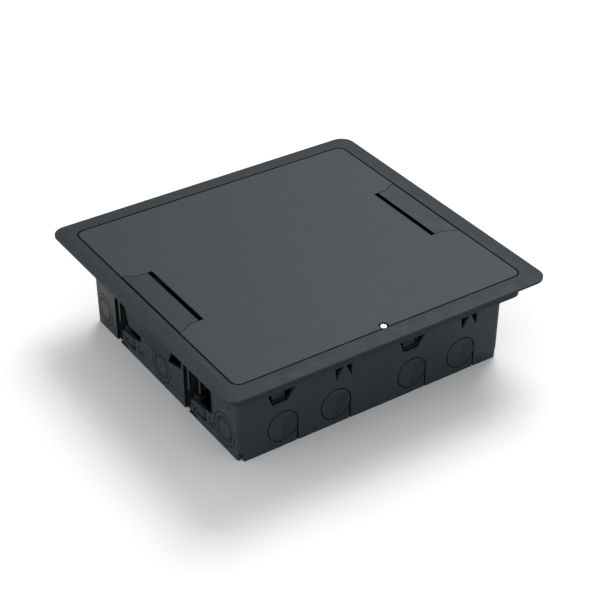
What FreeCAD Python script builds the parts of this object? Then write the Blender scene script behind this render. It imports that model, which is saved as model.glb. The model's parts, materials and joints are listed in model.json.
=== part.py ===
import FreeCAD, Part
import math
import os
from FreeCAD import Vector as V

os.makedirs("parts", exist_ok=True)

# ---------------------------------------------------------------- driving dimensions (mm)
# Row frame: origin = centre of the lid's top face, +Z up, +X to the right along the
# lock edge, +Y towards the lid's hinge edge.
LID_X, LID_Y = 300.0, 281.9          # lid outline
LID_R = 8.0                          # lid corner radius
LID_SKIN = 3.0                       # lid top skin
LID_H = 9.0                          # depth of the lid's edge wall
GAP = 0.9                            # groove between lid and frame
RIM_X, RIM_Y, RIM_R = 336.0, 317.4, 14.0   # outer edge of the flange that lies on the floor
RIM_FLAT = 6.6                       # flat band beside the groove
RIM_DROP = 1.0                       # fall of the outer band
RIM_T = 3.0                          # flange depth
COLLAR_T = 1.6                       # wall of the frame's collar
COLLAR_Z = -21.5                     # collar's lower edge
SHELF_T = 2.0                        # shelf that closes the collar inwards
TUB_X, TUB_Y, TUB_R = 280.6, 258.4, 6.0    # tub outline at its base
TUB_DRAFT = 0.7                      # growth per side from base to top
TUB_TOP, TUB_BOT = COLLAR_Z, -93.5
WALL = 2.6
FLOOR_T = 2.5
HINGE_Y, HINGE_Z, HINGE_R = 130.93, -3.5, 1.5   # lid hinge axis and pin radius
FLAP_XO, FLAP_XI = 149.4, 127.2      # flap: outer and inner edge, distance from the centre line
FLAP_HO, FLAP_HI = 51.5, 44.6        # half lengths at the outer and the inner edge
SLOT_XI = 122.6                      # inner edge of the finger slot
FLAP_T = 4.0
FLAP_AX, FLAP_AZ, FLAP_PIN_R = 131.2, -3.6, 1.1  # flap hinge axis and pin radius
LOCK_Y = -138.0                      # quarter-turn lock axis
LOCK_HEAD_R, LOCK_WELL_R, LOCK_SHAFT_R = 3.2, 4.3, 1.8
CL_Y = (88.7, -36.9)                 # start of each clamp slot on the -X wall
CL_AX, CL_U = -131.0, 12.0           # clamp screw axis: x, and distance from the slot's edge
CL_R = 2.0                           # clamp screw radius
CL_LIFT = 36.0                       # travel of a clamp claw
SOCK = 45.0                          # wiring accessory face
CARR_X = 54.0                        # carriers' centre lines
CARR_Z = -58.0                       # carrier plate top
PITCH = 48.6                         # accessory spacing along a carrier
RUN = 0.05                           # radial clearance of running fits

# ---------------------------------------------------------------- helpers
def box(x0, x1, y0, y1, z0, z1):
    return Part.makeBox(x1 - x0, y1 - y0, z1 - z0, V(x0, y0, z0))

def cyl(r, x, y, z, h, d=V(0, 0, 1)):
    return Part.makeCylinder(r, h, V(x, y, z), d)

def rwire(w, h, r, z, cx=0.0, cy=0.0):
    """Rounded rectangle wire w by h at height z."""
    x, y = w / 2.0, h / 2.0
    e = []
    k = r * (1 - math.sqrt(0.5))
    def P(a, b):
        return V(cx + a, cy + b, z)
    e.append(Part.LineSegment(P(-x + r, -y), P(x - r, -y)).toShape())
    e.append(Part.Arc(P(x - r, -y), P(x - k, -y + k), P(x, -y + r)).toShape())
    e.append(Part.LineSegment(P(x, -y + r), P(x, y - r)).toShape())
    e.append(Part.Arc(P(x, y - r), P(x - k, y - k), P(x - r, y)).toShape())
    e.append(Part.LineSegment(P(x - r, y), P(-x + r, y)).toShape())
    e.append(Part.Arc(P(-x + r, y), P(-x + k, y - k), P(-x, y - r)).toShape())
    e.append(Part.LineSegment(P(-x, y - r), P(-x, -y + r)).toShape())
    e.append(Part.Arc(P(-x, -y + r), P(-x + k, -y + k), P(-x + r, -y)).toShape())
    return Part.Wire(e)

def rprism(w, h, r, z0, z1, cx=0.0, cy=0.0):
    return Part.Face(rwire(w, h, r, z0, cx, cy)).extrude(V(0, 0, z1 - z0))

def rloft(w0, h0, r0, z0, w1, h1, r1, z1):
    return Part.makeLoft([rwire(w0, h0, r0, z0), rwire(w1, h1, r1, z1)], True, True)

def poly(points, direction):
    """Closed polygon through 3-D points, extruded along direction."""
    p = [V(*q) for q in points]
    return Part.Face(Part.makePolygon(p + [p[0]])).extrude(V(*direction))

def poly_yz(pts, x0, x1):
    return poly([(x0, y, z) for y, z in pts], (x1 - x0, 0, 0))

def poly_xz(pts, y0, y1):
    return poly([(x, y0, z) for x, z in pts], (0, y1 - y0, 0))

def poly_xy(pts, z0, z1):
    return poly([(x, y, z0) for x, y in pts], (0, 0, z1 - z0))

def fuse(a, *more):
    more = [m for m in more if m is not None]
    return a.multiFuse(more).removeSplitter() if more else a

def cut(a, *more):
    return a.cut(list(more)) if len(more) > 1 else a.cut(more[0])

def c2(s):
    """The same shape turned half a turn about the vertical centre line."""
    t = s.copy()
    t.rotate(V(0, 0, 0), V(0, 0, 1), 180)
    return t

def mx(s):
    return s.mirror(V(0, 0, 0), V(1, 0, 0))

def both(shapes):
    return list(shapes) + [c2(s) for s in shapes]

def solidify(s):
    if s.ShapeType == "Solid":
        return s
    if len(s.Solids) == 1:
        return s.Solids[0]
    return s

NODES = {}

def put(name, *solids):
    out = []
    for s in solids:
        out.extend(s.Solids)
    for s in out:
        if not s.isValid() or s.Volume <= 0:
            print("BAD", name, s.isValid(), s.Volume)
    NODES[name] = out[0] if len(out) == 1 else Part.makeCompound(out)

HX, HY = LID_X / 2.0, LID_Y / 2.0
OX, OY = LID_X + 2 * GAP, LID_Y + 2 * GAP          # lid opening
CX, CY = OX + 2 * COLLAR_T, OY + 2 * COLLAR_T      # collar outline

# ================================================================ tub
def wall_ring(y, z, radii, w, depth, x_face):
    """Concentric grooves in the -X wall."""
    out = []
    for r in radii:
        o = cyl(r + w / 2.0, x_face - 2, y, z, 2 + depth, V(1, 0, 0))
        i = cyl(r - w / 2.0, x_face - 2, y, z, 2 + depth, V(1, 0, 0))
        out.append(o.cut(i))
    return out

def tub():
    tx, ty = TUB_X + 2 * TUB_DRAFT, TUB_Y + 2 * TUB_DRAFT
    outer = rloft(TUB_X, TUB_Y, TUB_R, TUB_BOT, tx, ty, TUB_R, TUB_TOP)
    inner = rloft(TUB_X - 2 * WALL, TUB_Y - 2 * WALL, TUB_R - WALL, TUB_BOT + FLOOR_T,
                  tx - 2 * WALL, ty - 2 * WALL, TUB_R - WALL, TUB_TOP + 1)
    body = outer.cut(inner)
    # steps at the foot of each corner
    X, Y = TUB_X / 2.0, TUB_Y / 2.0
    cuts = []
    adds = []
    for sx in (-1, 1):
        for sy in (-1, 1):
            cx, cy = sx * X, sy * Y
            cuts.append(box(min(cx, cx - sx * 3.4) - 0.6, max(cx, cx - sx * 3.4) + 0.6,
                            min(cy, cy - sy * 3.4) - 0.6, max(cy, cy - sy * 3.4) + 0.6, TUB_BOT - 1, -85.0))
            adds.append(box(min(cx - sx * 2.0, cx - sx * 11), max(cx - sx * 2.0, cx - sx * 11),
                            min(cy - sy * 2.0, cy - sy * 11), max(cy - sy * 2.0, cy - sy * 11), TUB_BOT, -82.0))
    body = fuse(body, *[a.common(rloft(TUB_X, TUB_Y, TUB_R, TUB_BOT, tx, ty, TUB_R, TUB_TOP)) for a in adds])
    body = body.cut(cuts)
    # the floor is a plate inside the walls
    fz = TUB_BOT + FLOOR_T
    slab = rprism(TUB_X - 2 * WALL, TUB_Y - 2 * WALL, TUB_R - WALL, TUB_BOT, fz)
    body = body.cut(slab)
    slab = slab.cut(cuts + adds)

    # corner posts that take the frame screws
    posts = []
    for sx in (-1, 1):
        for sy in (-1, 1):
            p = cyl(5.0, sx * 129.0, sy * 117.0, fz, TUB_TOP - fz)
            w1 = box(min(sx * 129.0, sx * 139.0), max(sx * 129.0, sx * 139.0), sy * 117.0 - 1.25, sy * 117.0 + 1.25, fz, -30.0)
            w2 = box(sx * 129.0 - 1.25, sx * 129.0 + 1.25, min(sy * 117.0, sy * 128.0), max(sy * 117.0, sy * 128.0), fz, -30.0)
            posts.append(fuse(p, w1, w2).common(inner).cut(adds))
    # carrier pillars
    pillars = []
    for sx in (-1, 1):
        for sy in (-1, 1):
            for dx in (-20.0, 20.0):
                pillars.append(cyl(4.5, sx * CARR_X + dx, sy * 110.0, fz, CARR_Z - 2.0 - fz))
    # rails for the divider
    for sy in (-1, 1):
        for s in (-1, 1):
            pillars.append(box(s * 1.3 if s > 0 else -3.1, 3.1 if s > 0 else -1.3,
                               sy * 116.0 - 8, sy * 116.0 + 8, fz, -72.0))
    # boss for the earth terminal
    pillars.append(cyl(4.2, 12.0, 96.0, fz, 3.5))

    # clamp bays, both side walls (the +X wall is the -X wall turned half a turn)
    bay_cuts, bay_adds, guides = [], [], []
    for y0 in CL_Y:
        def U(pts):
            return [(y0 - u, z) for u, z in pts]
        # open window with the claw's parking place at its foot
        bay_cuts.append(poly_yz(U([(0, -24.5), (0, -94.5), (6.9, -94.5), (6.9, -91.9), (20, -91.9), (20, -86.0),
                                   (36.4, -86.0), (36.4, -71.0), (44, -70.5), (49.5, -67.5), (54.5, -60.5), (57.5, -50.0), (58.5, -24.5)]),
                                -148, -137.2))
        # cheek plates and ceiling of the bay
        guide = [box(-139.0, -119.0, y0, y0 + 2.0, fz, -40.0).common(inner)]
        # guide blade that keeps a swung-out claw in its slot
        bay_adds.append(box(-140.4, -137.0, y0 - 9.5, y0 - 7.0, -68.3, TUB_TOP))
        bay_adds.append(box(-140.4, -137.0, y0 - 9.5, y0 + 1.0, -24.6, TUB_TOP))
        # lip that rolls from the wall's face into the bay
        prof = [(-140.6, 59.5), (-140.5, 55.0), (-140.2, 50.0), (-139.5, 46.0), (-138.2, 42.5), (-136.3, 39.8),
                (-133.8, 38.3), (-130.0, 37.7), (-126.0, 37.6)]
        inn = [(-126.0, 39.4), (-131.0, 39.9), (-134.0, 41.5), (-136.0, 44.0), (-137.3, 48.0), (-138.0, 54.0), (-138.2, 59.5)]
        lip = poly_xy([(x, y0 - u) for x, u in prof + inn], -72.5, TUB_TOP)
        bay_adds.append(lip)
        # sill under the lip and behind the parked claw
        bay_adds.append(poly_xy([(x, y0 - u) for x, u in [(-140.55, 58.5), (-139.9, 52.0), (-138.5, 46.0), (-136.5, 42.0), (-136.5, 59.5), (-140.5, 59.5)]], -73.0, -70.8))
        # foot socket for the clamp screw
        ys = y0 - CL_U
        foot = cyl(4.4, CL_AX, ys, fz, 1.5)
        posts += [foot, c2(foot)]
        # guide rails for the lift nut's tail
        for s in (-1, 1):
            guide.append(box(-123.4, -120.6, ys + (2.35 if s > 0 else -4.15), ys + (4.15 if s > 0 else -2.35), fz, -25.0))
        guide.append(box(-121.0, -119.2, ys - 4.15, y0 + 1.0, fz, -25.0))
        g = fuse(*guide)
        guides += [g, c2(g)]
    body = body.cut(both(bay_cuts))
    body = fuse(body, *both(bay_adds))
    drill = []
    for y0 in CL_Y:
        ys = y0 - CL_U
        drill.append(cyl(CL_R + RUN, CL_AX, ys, -92.3, 3.0))
    drill = both(drill)
    feet = list(drill)

    # window for the frame's apron on the side walls
    drill += both([poly_yz([(31.0, -24.5), (31.0, -63.2), (12.0, -63.2), (7.0, -62.6), (-9.5, -59.2), (-32.9, -53.8), (-34.2, -47.0), (-34.2, -24.5)],
                           -148, -137.0)])

    # ring knockouts, side walls: thin grooves, so the disc can be struck out
    rings = []
    for y in (111.2, 3.6, -104.8):
        rings += wall_ring(y, -72.5, (16.1, 11.9, 9.7), 0.85, 1.0, -140.45)
        rings.append(cyl(1.1, -143, y, -72.5, 2.9, V(1, 0, 0)))
    # small blind location hole and spring-clip slots
    rings.append(cyl(1.25, -143.0, -113.8, -43.5, 3.8, V(1, 0, 0)))
    for y0 in CL_Y:
        def B(u0, u1, z0, z1, d=1.5):
            return box(-143, -140.45 + d, y0 - u1, y0 - u0, z0, z1)
        rings += [B(41.6, 43.0, -81.5, -76.0, 1.9), B(41.6, 51.0, -82.9, -81.4, 1.9), B(48.2, 51.0, -79.6, -77.4, 1.9)]
    drill += both(rings)

    # front and back walls
    front = []
    yo = -TUB_Y / 2.0 - 0.15
    for i, xc in enumerate((-97.0, -42.0, 40.2, 95.2)):
        o = cyl(16.05, xc, yo - 2, -72.0, 2 + 1.3, V(0, 1, 0))
        n = cyl(15.0, xc, yo - 2, -72.0, 2 + 1.3, V(0, 1, 0))
        keep = box(-200, xc + 1.0, -200, 0, -120, -72.0)
        keep2 = box(xc - 3.0, 200, -200, 0, -79.0, 0)
        ring = o.cut(n)
        front.append(ring)
        front.append(box(xc + 14.3, xc + 15.9, yo - 2, yo + 2.1, TUB_BOT - 1, -76.5))
        front.append(box(xc - 0.1, xc + 0.55, yo - 2, yo + 0.9, -87.0, -70.5))
        chan = box(xc + 0.5, xc + 14.4, yo - 2, yo + 0.35, TUB_BOT - 1, -63.0)
        front.append(chan)
        for k in range(4):
            front.append(box(xc + 2.6 + 2.9 * k, xc + 3.1 + 2.9 * k, yo - 2, yo + 0.65, -88.0, -64.0))
    for dx in (0.0, 137.2):
        front.append(poly_xz([(-115.9 + dx, -24.0), (-107.9 + dx, -45.5), (-91.9 + dx, -45.5), (-77.9 + dx, -24.0)], -135, -126.4))
        win = poly_xz([(-44.6 + dx, -24.0), (-42.6 + dx, -45.7), (-26.0 + dx, -45.7), (-25.4 + dx, -24.0)], -135, -126.4)
        tooth = poly_xz([(-42.2 + dx, -46.2), (-33.4 + dx, -31.8), (-26.4 + dx, -46.2)], -136, -126.0)
        front.append(win.cut(tooth))
    drill += both(front)

    # pilot holes in the posts and pillars, fixing holes in the floor
    pilots, fixings = [], []
    for sx in (-1, 1):
        for sy in (-1, 1):
            pilots.append(cyl(1.7, sx * 129.0, sy * 117.0, -40.0, 30.0))
            for dx in (-20.0, 20.0):
                pilots.append(cyl(1.45, sx * CARR_X + dx, sy * 110.0, -76.0, 30.0))
            fixings.append(cyl(2.75, sx * 105.0, sy * 90.0, TUB_BOT - 1, 6.0))
    pilots.append(cyl(1.3, 12.0, 96.0, -91.0, 10.0))
    body = body.cut(drill)
    slab = slab.cut(fixings + feet)
    posts = [solidify(q.cut(pilots + feet)) for q in posts]
    pillars = [solidify(q.cut(pilots)) for q in pillars]
    # the one moulding is kept as its floor, four walls, posts, pillars and clamp guides
    sx_ = TUB_X / 2.0 - 7.0
    yi = TUB_Y / 2.0 - WALL - 0.6
    fb = box(-sx_, sx_, -160, -yi, -120, 0)
    front_w = body.common(fb)
    back_w = body.common(c2(fb))
    sb = fuse(box(-160, -sx_, -160, 160, -120, 0), box(-sx_ - 1.0, -100, -yi, yi, -120, 0))
    left_w = body.common(sb)
    right_w = body.common(c2(sb))
    return slab, front_w, back_w, left_w, right_w, posts, pillars, guides

t_floor, t_front, t_back, t_left, t_right, t_posts, t_pillars, t_guides = tub()
put("tub_floor", t_floor)
put("tub_front", t_front)
put("tub_back", t_back)
put("tub_left", t_left)
put("tub_right", t_right)
put("tub_posts", *t_posts)
put("tub_pillars", *t_pillars)
put("clamp_guides", *t_guides)

# ================================================================ frame
def frame():
    flat_x, flat_y = OX + 2 * RIM_FLAT, OY + 2 * RIM_FLAT
    low = rprism(RIM_X, RIM_Y, RIM_R, -RIM_T, -RIM_DROP)
    top = rloft(RIM_X, RIM_Y, RIM_R, -RIM_DROP, flat_x, flat_y, RIM_R - 10.0, 0.0)
    # the collar runs a little way up into the flange, so that the flange's underside ends at the collar's outer face
    seat_z = -RIM_T + 0.3
    flange = fuse(low, top).cut([rprism(OX, OY, LID_R + GAP, COLLAR_Z + SHELF_T, 1.0), rprism(CX, CY, LID_R + GAP + COLLAR_T, COLLAR_Z, seat_z)])
    f = rprism(CX, CY, LID_R + GAP + COLLAR_T, COLLAR_Z, seat_z)
    f = f.cut(rprism(OX, OY, LID_R + GAP, COLLAR_Z + SHELF_T, 1.0))
    # shelf opening: tub wall's inner face, with lugs left for the corner screws and clamps
    opening = rprism(TUB_X - 2 * WALL - 1.0, TUB_Y - 2 * WALL - 1.0, 4.0, COLLAR_Z - 1, COLLAR_Z + SHELF_T + 0.5)
    lugs = []
    for sx in (-1, 1):
        for sy in (-1, 1):
            lugs.append(box(min(sx * 121.5, sx * 139.0), max(sx * 121.5, sx * 139.0),
                            min(sy * 109.5, sy * 128.0), max(sy * 109.5, sy * 128.0), COLLAR_Z - 2, COLLAR_Z + 4))
    cl = []
    for y0 in CL_Y:
        cl.append(box(-139.0, -124.5, y0 - CL_U - 6.0, y0 - CL_U + 6.0, COLLAR_Z - 2, COLLAR_Z + 4))
    opening = opening.cut(lugs + both(cl))
    f = f.cut(opening)
    # ledge that carries the lid's edge wall
    led = rprism(OX + 0.4, OY + 0.4, LID_R + GAP, COLLAR_Z + SHELF_T - 0.2, -10.3).cut(
        rprism(OX - 9.8, OY - 9.8, 4.0, COLLAR_Z, -5.0))
    led = led.cut([box(-160, 160, 116.5, 160, -30, 0), box(-160, -120, -55.0, 55.0, -30, 0), box(120, 160, -55.0, 55.0, -30, 0),
                   box(-15.0, 15.0, -160, -120, -30, 0)])
    f = fuse(f, *led.Solids)
    # hinge bosses
    bosses = []
    for sx in (-1, 1):
        bosses.append(box(min(sx * OX / 2.0, sx * 158.0), max(sx * OX / 2.0, sx * 158.0), HINGE_Y - 5.0, HINGE_Y + 5.0, -8.5, -1.2))
    f = fuse(f, *bosses)
    flange = flange.cut(bosses)
    holes = []
    for sx in (-1, 1):
        d = V(sx, 0, 0)
        holes.append(cyl(HINGE_R + RUN, sx * 150.0, HINGE_Y, HINGE_Z, 6.6, d))
    # apron plates that hang over the side walls' windows
    apron = poly_yz([(70.2, COLLAR_Z + 0.5), (58.4, -59.0), (7.0, -59.0), (2.4, -58.5), (-14.2, -55.2), (-31.8, COLLAR_Z + 0.5)], -142.9, -141.5)
    apron = apron.common(box(-150, 150, -160, 160, -100, COLLAR_Z))
    # hooked tongues that snap behind the front and back walls' windows
    tabs = []
    for dx in (0.0, 137.2):
        tabs.append(fuse(box(-106.1 + dx, -93.6 + dx, -126.2, -124.6, -46.3, COLLAR_Z),
                         poly([(-106.1 + dx, -126.2, -43.0), (-106.1 + dx, -127.6, -43.0), (-106.1 + dx, -126.2, -46.3)], (12.5, 0, 0))))
    # screw holes
    for sx in (-1, 1):
        for sy in (-1, 1):
            holes.append(cyl(2.25, sx * 129.0, sy * 117.0, COLLAR_Z - 1, 6.0))
    ch = []
    for y0 in CL_Y:
        ch.append(cyl(CL_R + RUN, CL_AX, y0 - CL_U, COLLAR_Z - 1, 6.0))
    holes += both(ch)
    # lock: notch in the flange's inner edge and window for the cam
    holes.append(cyl(LOCK_WELL_R, 0, LOCK_Y, -6.0, 10.0))
    holes.append(box(-6.5, 11.5, -146.0, -141.0, -16.2, -10.6))
    return flange.cut(holes), f.cut(holes), [apron, c2(apron)], both(tabs)

fr_flange, fr, fr_aprons, fr_tabs = frame()
put("frame_flange", fr_flange)
put("frame_collar", fr)
put("frame_aprons", *fr_aprons)
put("frame_tongues", *fr_tabs)

# keeper: a steel strip that lines the top of the cam window
kp = box(-6.5, 11.5, -143.4, -141.9, -11.6, -10.6)
put("lock_keeper", kp)

# foam seal on the ledge
def ring_strip(w, h, wo, z0, z1, r):
    s = rprism(w, h, r, z0, z1).cut(rprism(w - 2 * wo, h - 2 * wo, max(r - wo, 1.0), z0 - 1, z1 + 1))
    return s.cut([box(-160, 160, 116.0, 160, -30, 0), box(-160, -120, -55.6, 55.6, -30, 0), box(120, 160, -55.6, 55.6, -30, 0),
                  box(-15.6, 15.6, -160, -120, -30, 0)])
put("lid_seal", ring_strip(OX - 0.8, OY - 0.8, 3.4, -10.3, -9.35, LID_R))

# frame screws
def pan_screw(x, y, z, head_r, head_h, r, length, slot=True):
    """Pan-head screw: z is the bearing face, the shank points down."""
    s = cyl(head_r, x, y, z, head_h)
    s = s.makeFillet(head_h * 0.45, [e for e in s.Edges if abs(e.BoundBox.ZMin - (z + head_h)) < 1e-6 and abs(e.BoundBox.ZMax - (z + head_h)) < 1e-6 and e.Length > 1])
    sh = cyl(r, x, y, z - length, length + 0.1)
    tip = Part.makeCone(r * 0.45, r, r * 0.9, V(x, y, z - length - r * 0.9), V(0, 0, 1))
    s = fuse(s, sh, tip)
    a = head_r * 0.62
    c1 = box(x - a, x + a, y - head_r * 0.13, y + head_r * 0.13, z + head_h * 0.35, z + head_h + 1)
    c2_ = box(x - head_r * 0.13, x + head_r * 0.13, y - a, y + a, z + head_h * 0.35, z + head_h + 1)
    return s.cut([c1, c2_])

ZS = COLLAR_Z + SHELF_T
put("frame_screws", *[pan_screw(sx * 129.0, sy * 117.0, ZS, 3.9, 2.6, 1.7, 17.0) for sx in (-1, 1) for sy in (-1, 1)])

# ================================================================ lid
def flap_outline(half_extra, x_out, x_in, n=10):
    """Plan outline of the +X flap: straight outer and inner edge, ends that run in with a soft S and finish straight."""
    pts = []
    ho, hi = FLAP_HO + half_extra, FLAP_HI + half_extra
    xk = FLAP_XO - 0.66 * (FLAP_XO - FLAP_XI)
    for i in range(n + 1):
        x = FLAP_XO + (xk - FLAP_XO) * i / float(n)
        t = i / float(n)
        w = t - 0.07 * math.sin(2 * math.pi * t)
        pts.append((x, -(ho + (hi - ho) * w)))
    return pts

def flap_plan(half_extra, x_out, x_in):
    low = flap_outline(half_extra, x_out, x_in)
    vs = [V(x, y, 0) for x, y in low]
    vt = [V(x, -y, 0) for x, y in reversed(low)]
    b1 = Part.BSplineCurve(); b1.interpolate(vs)
    b2 = Part.BSplineCurve(); b2.interpolate(vt)
    a1, a2 = V(x_in, vs[-1].y, 0), V(x_in, vt[0].y, 0)
    seg = [b1.toShape(), Part.LineSegment(vs[-1], a1).toShape(), Part.LineSegment(a1, a2).toShape(), Part.LineSegment(a2, vt[0]).toShape(), b2.toShape()]
    if x_out > FLAP_XO + 1e-6:
        c1, c2_ = V(x_out, vt[-1].y, 0), V(x_out, vs[0].y, 0)
        seg += [Part.LineSegment(vt[-1], c1).toShape(), Part.LineSegment(c1, c2_).toShape(), Part.LineSegment(c2_, vs[0]).toShape()]
    else:
        seg += [Part.LineSegment(vt[-1], vs[0]).toShape()]
    return Part.Wire(seg)

def flap_prism(half_extra, x_out, x_in, z0, z1):
    w = flap_plan(half_extra, x_out, x_in)
    w.translate(V(0, 0, z0))
    return Part.Face(w).extrude(V(0, 0, z1 - z0))

EDGE_Y = 0.55                       # gap round the flaps' curved ends

def lid():
    b = rprism(LID_X, LID_Y, LID_R, -LID_H, 0.0)
    b = b.makeFillet(0.45, [e for e in b.Edges if abs(e.BoundBox.ZMin) < 1e-6 and abs(e.BoundBox.ZMax) < 1e-6])
    b = b.cut(rprism(LID_X - 5.0, LID_Y - 5.0, LID_R - 2.5, -LID_H - 1, -LID_SKIN))
    adds, cuts = [], []
    # walls round each flap opening
    for m in (False, True):
        o = flap_prism(EDGE_Y + 2.2, 151.5, SLOT_XI - 2.0, -LID_H, -1.0).common(box(100, HX, -70, 70, -20, 5))
        c = flap_prism(EDGE_Y, 152.5, FLAP_XI - 0.001, -20, 5)
        # the inner slot is straight, as long as the flap's inner edge
        c2_ = box(SLOT_XI, FLAP_XI + 1.0, -FLAP_HI - EDGE_Y, FLAP_HI + EDGE_Y, -20, 5)
        if m:
            o, c, c2_ = mx(o), mx(c), mx(c2_)
        adds.append(o)
        cuts += [c, c2_]
    # stiffening ribs
    for x in (-90, -54, -18, 18, 54, 90):
        adds.append(box(x - 0.9, x + 0.9, -HY + 2, HY - 2, -6.0, -LID_SKIN + 0.2))
    for y in (-100, -60, -20, 20, 60, 100):
        adds.append(box(-120.0, 120.0, y - 0.9, y + 0.9, -6.0, -LID_SKIN + 0.2))
    # bosses for the steel plate's screws
    for x in (-72, 0, 72):
        for y in (-80, 80):
            adds.append(cyl(4.0, x, y, -6.0, 3.2))
    # hinge bosses at the side walls
    for sx in (-1, 1):
        adds.append(box(min(sx * 139.0, sx * 148.0), max(sx * 139.0, sx * 148.0), HINGE_Y - 4.0, HINGE_Y + 4.0, -7.6, -LID_SKIN + 0.2))
    # lock boss
    adds.append(box(-6.5, 6.5, -HY + 0.4, LOCK_Y + 7.0, -LID_H, -LID_SKIN + 0.2))
    b = fuse(b, *adds)
    for x in (-72, 0, 72):
        for y in (-80, 80):
            cuts.append(cyl(1.2, x, y, -8.0, 6.2))
    for sx in (-1, 1):
        cuts.append(cyl(HINGE_R, sx * 142.0, HINGE_Y, HINGE_Z, 20.0, V(sx, 0, 0)))
    # flap pin holes
    for sx in (-1, 1):
        for sy in (-1, 1):
            cuts.append(cyl(FLAP_PIN_R, sx * FLAP_AX, sy * (FLAP_HI + EDGE_Y - 3.0), FLAP_AZ, 6.0, V(0, sy, 0)))
    # lock: head well, shaft bore
    cuts.append(cyl(LOCK_WELL_R, 0, LOCK_Y, -3.6, 5.0))
    cuts.append(cyl(LOCK_SHAFT_R + RUN, 0, LOCK_Y, -12.0, 12.0))
    b = b.cut(cuts)
    return b

ld = lid()
put("lid_cover", ld)

# steel plate screwed under the cover
pl = rprism(232.0, 262.0, 6.0, -7.5, -6.0)
pl = pl.cut([cyl(1.7, x, y, -8, 3) for x in (-72, 0, 72) for y in (-80, 80)] + [box(-9, 9, -140, -124, -9, -5)])
# pressed strengthening beads
put("lid_plate", pl)
def csk_up(x, y, z, hr, hh, r, length):
    """Screw driven upwards: z is the bearing face, the head hangs below it."""
    s = pan_screw(x, y, 0, hr, hh, r, length)
    s.rotate(V(x, y, 0), V(1, 0, 0), 180)
    s.translate(V(0, 0, z))
    return s
put("lid_plate_screws", *[csk_up(x, y, -7.5, 2.9, 1.3, 1.2, 3.6) for x in (-72, 0, 72) for y in (-80, 80)])

# lid hinge pins, pressed into the lid, turning in the frame
put("lid_hinge_pins", *[cyl(HINGE_R, sx * 142.0, HINGE_Y, HINGE_Z, 14.0, V(sx, 0, 0)) for sx in (-1, 1)])

# ---------------------------------------------------------------- cable flaps
def flap():
    f = flap_prism(0.0, FLAP_XO, FLAP_XI, -FLAP_T, 0.0)
    # hinge knuckles under both ends
    adds = [cyl(2.4, FLAP_AX, -FLAP_HI + 0.6, FLAP_AZ, 12.0, V(0, 1, 0)), cyl(2.4, FLAP_AX, FLAP_HI - 0.6, FLAP_AZ, 12.0, V(0, -1, 0))]
    adds = [a.common(box(100, 200, -100, 100, -20, -0.8)) for a in adds]
    f = fuse(f, *adds)
    # thinned underside
    f = f.cut(box(FLAP_AX + 4.6, FLAP_XO - 2.6, -FLAP_HI + 1.0, FLAP_HI - 1.0, -6, -2.6))
    f = f.cut([cyl(FLAP_PIN_R + RUN, FLAP_AX, sy * 30.5, FLAP_AZ, 20.0, V(0, sy, 0)) for sy in (-1, 1)])
    return f

fl = flap()
put("flap_right", fl)
put("flap_left", mx(fl))
foam = box(FLAP_AX + 5.0, FLAP_XO - 3.0, -FLAP_HI + 1.6, FLAP_HI - 1.6, -8.6, -2.6)
put("flap_foam_right", foam)
put("flap_foam_left", mx(foam))
put("flap_pins", *[cyl(FLAP_PIN_R, sx * FLAP_AX, sy * 33.0, FLAP_AZ, FLAP_HI + EDGE_Y + 2.6 - 33.0, V(0, sy, 0)) for sx in (-1, 1) for sy in (-1, 1)])

# ---------------------------------------------------------------- lock
hd = cyl(LOCK_HEAD_R, 0, LOCK_Y, -3.4, 2.9)
hd = hd.makeFillet(0.7, [e for e in hd.Edges if abs(e.BoundBox.ZMin + 0.5) < 1e-6 and abs(e.BoundBox.ZMax + 0.5) < 1e-6 and e.Length > 1])
hd = fuse(hd, cyl(LOCK_SHAFT_R, 0, LOCK_Y, -12.4, 9.5), cyl(1.3, 0, LOCK_Y, -15.6, 4.0))
hd = hd.cut([box(-1.9, 1.9, LOCK_Y - 0.36, LOCK_Y + 0.36, -1.9, 1), box(-0.36, 0.36, LOCK_Y - 1.9, LOCK_Y + 1.9, -1.9, 1)])
put("lock_screw", hd)
cam = fuse(cyl(3.2, 0, LOCK_Y, -14.4, 2.0), box(0, 7.2, LOCK_Y - 2.2, LOCK_Y + 2.2, -14.4, -12.4), 
           Part.makeCylinder(2.2, 2.0, V(7.2 - 2.2 + 0.6, LOCK_Y, -14.4), V(0, 0, 1)))
cam = cam.cut(cyl(1.3, 0, LOCK_Y, -16, 6))
put("lock_cam", cam)
put("lock_clip", cyl(2.6, 0, LOCK_Y, -15.2, 0.8).cut(cyl(1.3, 0, LOCK_Y, -16, 3)))

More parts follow.
